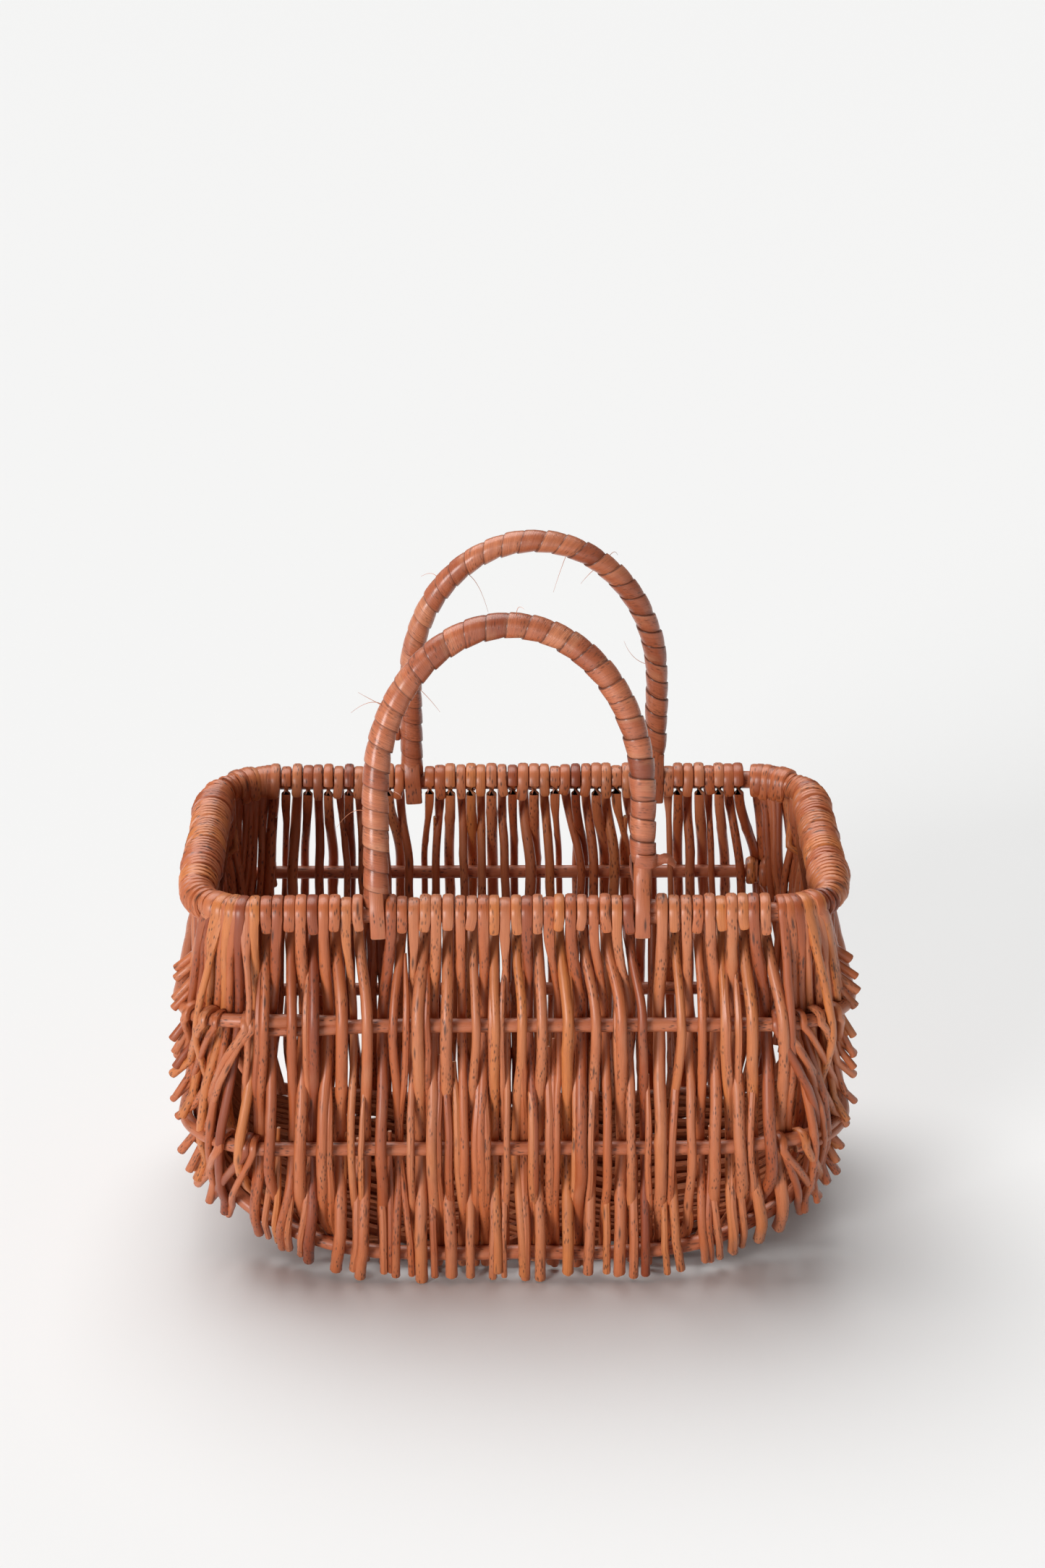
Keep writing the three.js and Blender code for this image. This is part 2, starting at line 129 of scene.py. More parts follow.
def wallAt(along, height, side):  # the middle of the wall, and the level direction out of it
    halfLength, halfDepth, corner = sectionAt(height)
    flatEnd, cornerEnd, endEnd, backCornerEnd, half = breaksAt(height)
    hand = -1 if along < 0 else 1
    way = min(abs(along), half)
    if way <= flatEnd:
        x, y, turn = way, -halfDepth, 0
    elif way <= cornerEnd:
        turn = (way - flatEnd) / corner
        x = flatEnd + corner * sin(turn)
        y = corner - halfDepth - corner * cos(turn)
    elif way <= endEnd:
        x, y, turn = halfLength, way - (cornerEnd + endEnd) / 2, pi / 2
    elif way <= backCornerEnd:
        turn = pi / 2 + (way - endEnd) / corner
        x = flatEnd + corner * sin(turn)
        y = halfDepth - corner - corner * cos(turn)
    else:
        x, y, turn = half - way, halfDepth, pi
    return Vector((hand * x, -side * y, height)), Vector((hand * sin(turn), side * cos(turn), 0))


def squareTo(along, height, side):  # square to the wall, which slopes in towards the bottom
    up = (wallAt(along, height + 6, side)[0] - wallAt(along, height - 6, side)[0]).normalized()
    level = wallAt(along, height, side)[1]
    return (level - up * level.dot(up)).normalized()


def throughPoints(points, steps):  # a smooth line through some points
    line = []
    for i in range(len(points) - 1):
        p0 = Vector(points[max(i - 1, 0)])
        p1 = Vector(points[i])
        p2 = Vector(points[i + 1])
        p3 = Vector(points[min(i + 2, len(points) - 1)])
        for step in range(steps):
            t = step / steps
            line.append(0.5 * (2 * p1 + (p2 - p0) * t + (2 * p0 - 5 * p1 + 4 * p2 - p3) * t * t
                               + (3 * p1 - p0 - 3 * p2 + p3) * t * t * t))
    line.append(Vector(points[-1]))
    return line


def evenly(line, count):  # the same line with evenly spaced points
    lengths = [0.0]
    for a, b in zip(line, line[1:]):
        lengths.append(lengths[-1] + (b - a).length)
    result = []
    index = 0
    for step in range(count):
        goal = lengths[-1] * step / (count - 1)
        while index < len(line) - 2 and lengths[index + 1] < goal:
            index += 1
        span = max(lengths[index + 1] - lengths[index], 1e-9)
        result.append(line[index].lerp(line[index + 1], min((goal - lengths[index]) / span, 1)))
    return result, lengths[-1]


bowPlaces, bowLength = evenly(throughPoints([(a, h, 0) for a, h in bow["course"]], 12), 401)


def courseAt(share):  # share runs from -1 at the left tip of a bow to 1 at the right tip
    place = min(abs(share), 1) * 400
    index = min(int(place), 399)
    point = bowPlaces[index].lerp(bowPlaces[index + 1], place - index)
    return (point.x if share >= 0 else -point.x), max(point.y, bow["course"][0][1])


def bowInside(height):
    return bow["inside"] * smooth(height, 40, 85)


# Making rods

cutEdge = {"reach": 0.42, "narrow": 0.94, "dome": 0.05}  # a cut end has a slightly broken edge


def newBundle():
    return {"points": [], "faces": [], "place": [], "tint": [], "cut": []}


def addPoint(bundle, point, place, tint, cut):
    bundle["points"].append(point)
    bundle["place"].append(place)
    bundle["tint"].append(tint)
    bundle["cut"].append(cut)


def joinRings(bundle, first, steps, sides, clockwise):
    for step in range(steps):
        for i in range(sides):
            j = (i + 1) % sides
            a = first + step * sides
            b = a + sides
            face = (a + i, a + j, b + j, b + i) if clockwise else (a + i, b + i, b + j, a + j)
            bundle["faces"].append(face)


# One rod along a path of (point, outward hint, half width, half thickness).
def addRod(bundle, path, tint, luck, sides=10, cutEnds=1.0):
    offset = Vector((luck.uniform(0, 9), luck.uniform(0, 9), luck.uniform(0, 9)))
    head = (path[0][0] - path[1][0]).normalized()
    tail = (path[-1][0] - path[-2][0]).normalized()
    narrow = cutEdge["narrow"]
    capped = []
    for (point, hint, width, thick), way in [(path[0], head), (path[-1], tail)]:
        capped.append((point + way * cutEdge["reach"], hint, width * narrow, thick * narrow, cutEnds))
    stations = [capped[0]] + [(*place, 0.0) for place in path] + [capped[1]]
    first = len(bundle["points"])
    travelled = 0.0
    count = len(stations)
    for index, (point, hint, width, thick, cut) in enumerate(stations):
        if index:
            travelled += (point - stations[index - 1][0]).length
        ahead = stations[min(index + 1, count - 1)][0]
        behind = stations[max(index - 1, 0)][0]
        along = (ahead - behind).normalized()
        across = along.cross(hint)
        if across.length < 1e-6:
            across = along.orthogonal()
        across.normalize()
        up = across.cross(along).normalized()
        square = lerp(0.68, 1.0, smooth(thick / width, 0.72, 0.97))  # a flattened rod has squarer sides
        for i in range(sides):
            turn = 2 * pi * i / sides
            sideways = copysign(abs(cos(turn)) ** square, cos(turn)) * width
            outwards = copysign(abs(sin(turn)) ** square, sin(turn)) * thick
            place = Vector((travelled, sideways, outwards)) * 0.001 + offset
            addPoint(bundle, point + across * sideways + up * outwards, place, tint, cut)
    joinRings(bundle, first, count - 1, sides, False)
    for ring, way in [(0, head), (count - 1, tail)]:
        centre = len(bundle["points"])
        addPoint(bundle, stations[ring][0] + way * cutEdge["dome"], offset, tint, cutEnds)
        a = first + ring * sides
        for i in range(sides):
            j = (i + 1) % sides
            bundle["faces"].append((centre, a + i, a + j) if ring == 0 else (centre, a + j, a + i))


def addPiece(name, bundle, material, nodes, sharp=42):
    mesh = bpy.data.meshes.new(name)
    mesh.from_pydata([p * 0.001 for p in bundle["points"]], [], bundle["faces"])
    for key, kind in [("place", "FLOAT_VECTOR"), ("tint", "FLOAT"), ("cut", "FLOAT")]:
        layer = mesh.attributes.new("rod" + key.capitalize(), kind, "POINT")
        if kind == "FLOAT":
            layer.data.foreach_set("value", bundle[key])
        else:
            layer.data.foreach_set("vector", [c for v in bundle[key] for c in v])
    mesh.materials.append(material)
    piece = bpy.data.objects.new(name, mesh)
    bpy.context.collection.objects.link(piece)
    bpy.ops.object.select_all(action="DESELECT")
    piece.select_set(True)
    bpy.context.view_layer.objects.active = piece
    bpy.ops.object.shade_smooth_by_angle(angle=radians(sharp))
    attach(piece, "root")
    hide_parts(*nodes)


# Materials

def setSockets(node, values):
    for key, value in values.items():
        node.inputs[key].default_value = value


# Willow. Its patterns follow each rod through the rodPlace attribute.
def willowMaterial(name, look):
    material = bpy.data.materials.new(name)
    material.use_nodes = True
    nodes = material.node_tree.nodes
    links = material.node_tree.links
    shader = nodes["Principled BSDF"]

    def node(kind, **values):
        made = nodes.new(kind)
        for key, value in values.items():
            setattr(made, key, value)
        return made

    def attribute(named, socket="Fac"):
        return node("ShaderNodeAttribute", attribute_name=named).outputs[socket]

    place = attribute("rodPlace", "Vector")

    def pattern(kind, scale, **inputs):
        mapping = node("ShaderNodeMapping")
        setSockets(mapping, {"Scale": scale})
        made = node(kind)
        setSockets(made, {"Scale": 1.0, **inputs})
        links.new(place, mapping.inputs["Vector"])
        links.new(mapping.outputs["Vector"], made.inputs["Vector"])
        return made.outputs

    def noise(scale, detail, rough=0.55):
        return pattern("ShaderNodeTexNoise", scale, Detail=detail, Roughness=rough)["Fac"]

    def spots(scale, size, core, most):
        return spread(pattern("ShaderNodeTexVoronoi", scale)["Distance"], size, core, 0.0, most)

    def fill(sockets, values):  # each value is a number, a colour or another node's output
        for socket, value in zip(sockets, values):
            if isinstance(value, (int, float)):
                socket.default_value = value
            elif isinstance(value, tuple):
                socket.default_value = (*value, 1)
            else:
                links.new(value, socket)

    def spread(source, low, high, toLow=0.0, toHigh=1.0):
        made = node("ShaderNodeMapRange", clamp=True)
        setSockets(made, {"From Min": low, "From Max": high, "To Min": toLow, "To Max": toHigh})
        links.new(source, made.inputs["Value"])
        return made.outputs["Result"]

    def math2(operation, a, b):
        made = node("ShaderNodeMath", operation=operation)
        fill(made.inputs[:2], (a, b))
        return made.outputs[0]

    def mix(share, a, b):
        made = node("ShaderNodeMix", data_type="RGBA")
        fill((made.inputs[0], made.inputs[6], made.inputs[7]), (share, a, b))
        return made.outputs[2]

    # rodCut marks the cut ends of rods; on the skein it carries painted shade along the seams between turns
    # and on the hidden inner face
    cut = attribute("rodCut")
    drift = noise((14, 40, 40), 2.0)
    tone = math2("ADD", attribute("rodTint"), spread(drift, 0.25, 0.75, -look["drift"], look["drift"]))
    ramp = node("ShaderNodeValToRGB")
    stops = ramp.color_ramp.elements
    while len(stops) < len(look["tones"]):
        stops.new(0.5)
    for stop, (position, toneColor) in zip(stops, look["tones"]):
        stop.position = position
        stop.color = (*toneColor, 1)
    links.new(tone, ramp.inputs[0])

    grain = noise(look["grainScale"], 4.0, 0.62)
    color = mix(spread(grain, 0.38, 0.7, 0.0, look["grain"]), ramp.outputs[0], look["grainColor"])
    mottle = noise((60, 170, 170), 4.0, 0.6)
    color = mix(spread(mottle, 0.5, 0.78, 0.0, look["mottle"]), color, look["mottleColor"])
    pale = noise((34, 90, 90), 2.0)
    color = mix(spread(pale, 0.55, 0.8, 0.0, look["pale"]), color, look["paleColor"])

    # dark specks in small groups, and a few larger scars where buds grew
    groups = spread(noise((42, 110, 110), 1.0), 0.48, 0.54)
    specks = math2("MULTIPLY", spots(look["speckScale"], look["speckSize"], 0.08, 1.0), groups)
    marks = math2("MAXIMUM", specks, spots(look["scarScale"], look["scarSize"], 0.05, 0.9))
    color = mix(math2("MULTIPLY", marks, look["marks"]), color, look["markColor"])

    # the pith and the frayed edge of a cut end, and on the skein painted shade in the seams between turns and
    # on its hidden inner face
    pith = noise((900, 900, 900), 3.0)
    cutEndAndPaintedShadeColor = mix(spread(pith, 0.35, 0.7), look["cutEndAndPaintedShadeColor"], look["cutEndAndPaintedShadeDark"])
    color = mix(math2("MULTIPLY", cut, 0.75), color, cutEndAndPaintedShadeColor)
    links.new(color, shader.inputs["Base Color"])

    roughness = math2("ADD", spread(mottle, 0.3, 0.7, look["roughness"], look["roughness"] + 0.16),
                      math2("MULTIPLY", marks, 0.15))
    links.new(math2("ADD", roughness, math2("MULTIPLY", cut, 0.2)), shader.inputs["Roughness"])

    height = math2("ADD", math2("MULTIPLY", grain, look["grainHeight"]),
                   math2("ADD", math2("MULTIPLY", mottle, 0.5), math2("MULTIPLY", marks, -0.5)))
    bump = node("ShaderNodeBump")
    setSockets(bump, {"Strength": look["bump"], "Distance": 0.0004})
    setSockets(shader, {"Coat Weight": look["coat"], "Coat Roughness": look["coatRoughness"],
                        "Specular IOR Level": look["gloss"]})
    links.new(height, bump.inputs["Height"])
    links.new(bump.outputs["Normal"], shader.inputs["Normal"])
    return material


rodLook = {
    "tones": [(0.0, (0.27, 0.050, 0.014)), (0.25, (0.42, 0.098, 0.028)), (0.5, (0.53, 0.140, 0.044)),
              (0.72, (0.56, 0.180, 0.074)), (1.0, (0.61, 0.190, 0.050))],
    "drift": 0.16,
    "grain": 0.30, "grainScale": (60, 1500, 1500), "grainColor": (0.27, 0.062, 0.020), "grainHeight": 1.0,
    "mottle": 0.42, "mottleColor": (0.33, 0.080, 0.028),
    "pale": 0.22, "paleColor": (0.68, 0.33, 0.18),
    "speckScale": (230, 700, 700), "speckSize": 0.42,
    "scarScale": (30, 150, 150), "scarSize": 0.17,
    "marks": 0.95, "markColor": (0.055, 0.018, 0.010),
    "cutEndAndPaintedShadeColor": (0.62, 0.34, 0.19), "cutEndAndPaintedShadeDark": (0.26, 0.10, 0.05),
    "roughness": 0.40, "bump": 0.75, "coat": 0.42, "coatRoughness": 0.30, "gloss": 0.36,
}
frameLook = dict(
    rodLook,
    tones=[(0.0, (0.27, 0.058, 0.020)), (0.3, (0.41, 0.104, 0.038)), (0.6, (0.51, 0.148, 0.060)),
           (1.0, (0.57, 0.19, 0.08))],
    mottle=0.5,
)
skeinLook = dict(
    rodLook,
    tones=[(0.0, (0.28, 0.062, 0.024)), (0.35, (0.46, 0.122, 0.050)), (0.65, (0.60, 0.185, 0.082)),
           (1.0, (0.70, 0.270, 0.135))],
    grain=0.62, grainScale=(40, 2200, 2200), grainColor=(0.25, 0.060, 0.028), grainHeight=1.6,
    # the skein's end colours are mostly painted shade for the seams between turns and its inner face
    mottle=0.4, pale=0.5, marks=0.6, cutEndAndPaintedShadeColor=(0.075, 0.020, 0.010), cutEndAndPaintedShadeDark=(0.03, 0.01, 0.006),
    roughness=0.28, bump=0.6, coat=0.5, coatRoughness=0.24,
)
shadedBottomLook = dict(  # painted shade: the tones are darker than the wall rods' to stand in for the shade down inside the basket; no varnish reaches the bottom, so it has no coat
    rodLook,
    tones=[(0.0, (0.13, 0.030, 0.010)), (0.5, (0.24, 0.062, 0.022)), (1.0, (0.33, 0.100, 0.036))],
    coat=0.0, roughness=0.6, gloss=0.15,
)
rodMaterial = willowMaterial("varnishedRod", rodLook)
# the bottom rods get a copy of the willow whose darker tones are painted shade
shadedBottomMaterial = willowMaterial("dullShadedRod", shadedBottomLook)
frameMaterial = willowMaterial("varnishedFrame", frameLook)
skeinMaterial = willowMaterial("varnishedSkein", skeinLook)
print("materials made")


# How rods wander and taper

# A slow sideways wave and a few thicker nodes, different for each rod.
def rodHabit(luck, wave=0.28):
    waves = [(luck.uniform(38, 95), luck.uniform(0, 6.28), luck.uniform(0.3, 1) * wave) for _ in range(2)]
    knots = []
    place = luck.uniform(10, 50)
    while place < 420:
        knots.append((place, luck.uniform(0.02, 0.11), luck.uniform(-0.3, 0.3)))
        place += luck.uniform(38, 75)

    def sideways(distance):
        shift = sum(size * sin(6.283 * distance / length + start) for length, start, size in waves)
        return shift + sum(kick * exp(-((distance - at) / 5) ** 2) for at, _, kick in knots)

    def swell(distance):
        return 1 + sum(size * exp(-((distance - at) / 2.6) ** 2) for at, size, _ in knots)

    return sideways, swell


def pickTint(luck):
    return min(max(luck.gauss(0.52, 0.28), 0.0), 1.0)


# Rods of the long walls and of the corners

longRods = {
    "pitch": 6.9,  # along the rim, loops and tabs together
    "radius": (2.7, 3.9),  # below the rim
    "thin": (2.0, 2.5),
    "thinShare": 0.13,
    "thicken": 1.03,  # towards the foot
    "hookWidth": (3.05, 3.6),  # half the width over the rim, where a rod is flattened
    "hookThickness": 2.7,  # half of it, at most
    "straight": 158,  # the rim's straight stretch, each way from the middle
    "spread": 0.108,  # how much the rods nearest the corners spread towards the bow
    "tab": (6.0, 10.5),  # reach of a short end below the middle of the rim
    "foot": (8.5, 15.0),  # reach of a cut end beyond the bow
    "legRoom": 8.2,  # kept free each side of a handle leg
    "sway": (1.7, 2.2, 1.5),  # sideways, at the upper ring, the lower ring and the bow
    "step": 5.2,  # down the wall, from one point of a path to the next
}
shortRods = {  # slipped in between the long ones later, from lower down
    "count": 44,
    "radius": (1.9, 3.0),
    "startOutside": (140, 170),  # heights where they begin
    "startInside": (98, 110),
    "startHigh": 224,  # behind the loops over the rim, away from a handle leg
    "startByLeg": 104,
    "legRoom": 14.2,
}
cornerRods = {
    "footPitch": (6.4, 8.4),  # along the bow, at its foot and up its riser
    "lastFoot": 0.985,
    "radius": (2.1, 3.1),
    "tops": (161, 193),  # along the rim, up to where the end winding begins
    "lowerFrom": 30, "upperFrom": 72,  # heights of the foot from which a rod loops over a ring
    "loopStart": 163,  # nearest to the middle that a looped rod starts
    "slope": (26, 47),  # degrees from upright, for rods looped over a ring
    "foot": (15, 24),
    "lowFoot": 12,
    "flare": (0.35, 0.7),  # how far the cut ends point outwards
    "flareInside": (0.7, 1.0),  # the same for rods that pass inside the lower ring
    "sway": (1.8, 1.8, 0.8),
    "stiff": 0.8,
    "straightReach": 66,  # the last part of a rod, which is too stiff to follow the corner
}
endRods = {  # short upright rods beyond the bow's riser, in two layers inside the rings
    "places": (202, 209, 217, 225, 233, 241),
    "radius": (2.3, 3.1),
    "layers": [((2, 9), -1.0), ((-18, -6), -1.9)],  # lean, offset in reaches of ring and rod
    "below": (14, 34),  # how far past the lower ring they go
    "steps": 28,
}
ringReach = upperRing["radius"]


def footAlong(along):  # share of the bow's course where a rod from this place on the rim crosses it
    return along * (1 + longRods["spread"] * (along / longRods["straight"]) ** 2) / bowLength


# The hook over a ring or the rim, from the tip of its short end over the top to where its leg begins.
# leg is 1 where the leg is outside the ring and -1 where it is inside.
def hookOver(along, height, side, leg, ringRadius, tab, width, thick, luck):
    point, out = wallAt(along, height, side)
    around = out.cross(Vector((0, 0, 1))).normalized()
    reach = ringRadius + thick + 0.15
    lean = luck.uniform(-1.6, 1.6)
    path = []
    for share, narrow in [(1.0, 0.78), (0.95, 0.93), (0.85, 1.0), (0.6, 1.03), (0.3, 1.04)]:
        drop = point + out * (-leg * (reach + 0.3 * share)) + around * (lean * share)
        drop += out * (leg * 0.8 * smooth(share, 0.8, 1.0))
        path.append((drop + Vector((0, 0, -tab * share)), out * -leg, width * narrow, thick * narrow))
    for share in shares(8):
        turn = pi * (1 - share)
        hint = out * (leg * cos(turn)) + Vector((0, 0, sin(turn)))
        corner = 0.7 * sin(2 * turn) ** 2  # a rod creases rather than bends evenly
        path.append((point + hint * (reach + corner), hint, width * 1.04, thick))
    return path


# One rod, from a hook or a thin end, in and out of the rings, to its cut end beyond the bow.
# top: its place along the rim. footShare: where on the bow's course it ends.
# beside: which side of the upper ring, the lower ring and the bow it passes (1 outside)
# hookAt: "rim", "upper" or "lower", or the height where a rod without a hook begins
# even: its place if all were evenly spaced, taken below the loops. stiff: how straight its last part is.
def wovenRod(side, top, footShare, beside, leg, radius, luck, foot, hookAt="rim", sway=longRods["sway"],
             flare=0.0, even=None, stiff=0.0):
    bowAlong, bowHeight = courseAt(footShare)
    sideways, swell = rodHabit(luck)
    hooks = {"rim": rim, "upper": upperRing, "lower": lowerRing}
    stations = [rim["height"], upperRing["height"], lowerRing["height"], bowHeight]
    keep = [0] + [i for i in (1, 2) if stations[i] > bowHeight + 14] + [3]
    offsets = [
        leg * (rim["radius"] + radius * 0.8 + 0.15),
        beside[0] * (ringReach + radius + 0.25),
        beside[1] * (ringReach + radius + 0.25),
        -bowInside(bowHeight) + beside[2] * (bow["radius"] + radius + 0.3),
    ]
    if hookAt in ("upper", "lower"):
        offsets[1 if hookAt == "upper" else 2] = leg * (ringReach + radius + 0.25)
    shifts = [0.0] + [luck.gauss(0, size) for size in sway]
    heights = [stations[i] for i in keep]
    marks = [offsets[i] for i in keep]
    shifts = [shifts[i] for i in keep]
    start = hooks[hookAt]["height"] if hookAt in hooks else hookAt

    def between(height):  # the ring or the like above this height, and how far down to the next
        index = 0
        while index < len(heights) - 2 and height < heights[index + 1]:
            index += 1
        return index, (heights[index] - height) / (heights[index] - heights[index + 1])

    def along(height):
        index, within = between(height)
        share = (rim["height"] - height) / (rim["height"] - bowHeight)
        straight = lerp(top if even is None else even, bowAlong, share)
        if even is not None:
            straight += (top - even) * (1 - smooth(rim["height"] - 8 - height, 0, 58))
        return straight + lerp(shifts[index], shifts[index + 1], smooth(within))

    def offset(height):
        index, within = between(height)
        within = min(max(within, 0), 1)
        eased = (1 - cos(pi * within)) / 2
        return lerp(marks[index], marks[index + 1], lerp(eased, within, 0.18))

    thick = min(radius * 0.76, longRods["hookThickness"])
    width = max(radius * 0.9, luck.uniform(*longRods["hookWidth"]))
    tab = luck.uniform(*longRods["tab"])
    path = []
    if hookAt == "rim":
        path = hookOver(along(start), start, side, leg, rim["radius"], tab, width, thick, luck)
    elif hookAt in hooks:
        path = hookOver(along(start), start, side, leg, ringReach, tab * 0.7, radius, radius * 0.85, luck)
    count = max(int((start - bowHeight) / longRods["step"]), 10)
    travelled = 0.0
    previous = None
    for i in range(1 if path else 0, count + 1):
        height = lerp(start, bowHeight, i / count)
        here = along(height)
        square = squareTo(here, height, side)
        middle, level = wallAt(here, height, side)
        around = level.cross(Vector((0, 0, 1))).normalized()
        point = middle + square * offset(height)
        if previous:
            travelled += (point - previous).length
        previous = point.copy()
        free = smooth(travelled, 4, 30) * smooth(count - i, 0, 4)
        point += around * sideways(travelled) * free
        size = swell(travelled) * lerp(0.97, longRods["thicken"], (start - height) / (start - bowHeight))
        roundness = smooth(travelled, 6, 26) if hookAt == "rim" else 1.0
        if hookAt not in hooks:  # it begins with its thin end, tucked in behind its neighbours
            size *= lerp(0.55, 1.0, smooth(travelled, 0, 36))
        halfWidth = lerp(width, radius, roundness) * size
        path.append((point, square, halfWidth, lerp(thick, radius, roundness) * size))
    level = wallAt(bowAlong, bowHeight, side)[1]
    direction = (path[-1][0] - path[-3][0]).normalized()
    if stiff:
        begin = max(len(path) - 1 - int(cornerRods["straightReach"] / longRods["step"]), len(path) - count)
        chordStart = path[begin][0]
        chordEnd = path[-1][0]
        direction = (chordEnd - chordStart).normalized()
        for i in range(begin + 1, len(path) - 1):
            chord = chordStart.lerp(chordEnd, (i - begin) / (len(path) - 1 - begin))
            path[i] = (path[i][0].lerp(chord, stiff), *path[i][1:])
    if bowHeight < bow["course"][0][1] + 1:  # over the bow's flat run the floor limits the stub
        foot = min(foot, bow["course"][0][1] - 1.0)
    direction = (direction + level * (beside[2] * -0.08 + flare)).normalized()
    crossing = path[-1][0]
    for share, size in [(0.35, 1.0), (0.7, 1.02), (1.0, 1.06)]:
        end = crossing + direction * (foot * share)
        end.z = max(end.z, 0.6)
        path.append((end, squareTo(bowAlong, max(bowHeight, 8), side), radius * size, radius * size))
    return path


def nearestNode(names, x):
    return min(names, key=lambda name: abs(middleOf(name).x - x))


cadHandle = {"legRadius": 6.5, "crownRadius": 5.5}  # the handle rod in the frame


def handlePlaces(node):
    low, high = boxOf(node)
    middle = (low.x + high.x) / 2
    reach = (high.x - low.x) / 2 - cadHandle["legRadius"]
    return {"middle": middle, "reach": reach, "top": high.z - cadHandle["crownRadius"] - rim["height"],
            "legs": (middle - reach, middle + reach)}


handles = {-1: handlePlaces("front_handle_core"), 1: handlePlaces("back_handle_core")}


def makeLongWall(side, word, seed):
    luck = random.Random(seed)
    names = [f"{word}_stakes_{i}" for i in range(1, 9)]
    bundles = {name: newBundle() for name in names}
    legs = handles[side]["legs"]
    places = []
    place = -longRods["straight"]
    while place < longRods["straight"] - 1:
        if all(abs(place - leg) > longRods["legRoom"] for leg in legs):
            places.append(place)
        place += longRods["pitch"] * luck.uniform(0.93, 1.07)
    for index, place in enumerate(places):
        leg = 1 if index % 2 == 0 else -1
        even = lerp(-longRods["straight"], longRods["straight"], index / (len(places) - 1))
        even = lerp(place, even, 0.8)
        thin = luck.random() < longRods["thinShare"]
        radius = luck.uniform(*(longRods["thin"] if thin else longRods["radius"]))
        beside = (-leg, leg, -leg)
        foot = luck.uniform(*longRods["foot"])
        path = wovenRod(side, place, footAlong(even), beside, leg, radius, luck, foot, even=even)
        addRod(bundles[nearestNode(names, place)], path, pickTint(luck), luck)
    for index in range(shortRods["count"]):
        share = (index + luck.uniform(0.2, 0.8)) / shortRods["count"]
        place = (2 * share - 1) * longRods["straight"]
        leg = luck.choice((-1, 1))
        if leg > 0:
            start = luck.uniform(*shortRods["startOutside"])
        else:
            start = luck.choice([luck.uniform(*shortRods["startInside"]), shortRods["startHigh"]])
        byLeg = any(abs(place - post) < shortRods["legRoom"] for post in legs)
        if start == shortRods["startHigh"] and byLeg:
            start = shortRods["startByLeg"]
        radius = luck.uniform(*shortRods["radius"])
        foot = luck.uniform(*longRods["foot"])
        beside = (-leg, leg, -leg)
        path = wovenRod(side, place, footAlong(place), beside, leg, radius, luck, foot, hookAt=start)
        addRod(bundles[nearestNode(names, place)], path, pickTint(luck), luck, sides=8)
    for name, bundle in bundles.items():
        addPiece(name.replace("stakes_", "rods"), bundle, rodMaterial, [name])


# The rods of a corner lean more and more towards the end, run straight past the bow's riser and end
# in cut stubs. Between those from the rim lie others, looped over a ring and leaning further.
def makeCorner(side, hand, word, seed):
    luck = random.Random(seed)
    bundles = [newBundle() for _ in range(3)]
    first = footAlong(longRods["straight"] + 1)
    length = bowLength * (cornerRods["lastFoot"] - first)
    feet = []
    reached = cornerRods["footPitch"][0] / 2
    while reached < length:
        feet.append(reached / length)
        height = courseAt(lerp(first, cornerRods["lastFoot"], feet[-1]))[1]
        reached += lerp(*cornerRods["footPitch"], smooth(height, 30, 110)) * luck.uniform(0.85, 1.15)
    for index, part in enumerate(feet):
        share = lerp(first, cornerRods["lastFoot"], part)
        top = lerp(*cornerRods["tops"], part ** 0.8)
        bowAlong, bowHeight = courseAt(share)
        looped = index % 2 and cornerRods["lowerFrom"] < bowHeight < upperRing["height"] - 16
        outer = looped or index % 5 != 0
        if looped:
            start = "upper" if bowHeight > cornerRods["upperFrom"] else "lower"
            ring = upperRing if start == "upper" else lowerRing
            slope = tan(radians(luck.uniform(*cornerRods["slope"])))
            steepest = (bowAlong - cornerRods["loopStart"]) / (ring["height"] - bowHeight)
            top = bowAlong - min(slope, steepest) * (rim["height"] - bowHeight)
            beside = (1, 1, 1)
        else:
            start = "rim"
            top -= 9 * smooth(bowHeight, 150, 230)
            beside = (-1, 1, 1) if outer else (1, -1, -1)
        radius = luck.uniform(*cornerRods["radius"])
        high = smooth(bowHeight, 25, 90)
        foot = lerp(cornerRods["lowFoot"], luck.uniform(*cornerRods["foot"]), high)
        flare = high * luck.uniform(*cornerRods["flare" if outer else "flareInside"])
        highest = smooth(bowHeight, 165, 215)
        flare += 0.5 * highest
        foot = (foot + (0 if outer else 7 * high)) * lerp(1.0, 0.72, highest)
        path = wovenRod(side, hand * top, hand * share, beside, 1, radius, luck, foot, hookAt=start,
                        sway=cornerRods["sway"], flare=flare, stiff=cornerRods["stiff"] * high)
        addRod(bundles[min(int(part * 3), 2)], path, pickTint(luck), luck)
    for place in endRods["places"]:
        for lean, away in [(luck.uniform(*leans), away) for leans, away in endRods["layers"]]:
            addRod(bundles[2], endRod(side, hand, place, lean, away, luck), pickTint(luck), luck)
    for index, bundle in enumerate(bundles):
        addPiece(f"{word}Rods{index + 1}", bundle, rodMaterial, [f"{word}_{index + 1}"])


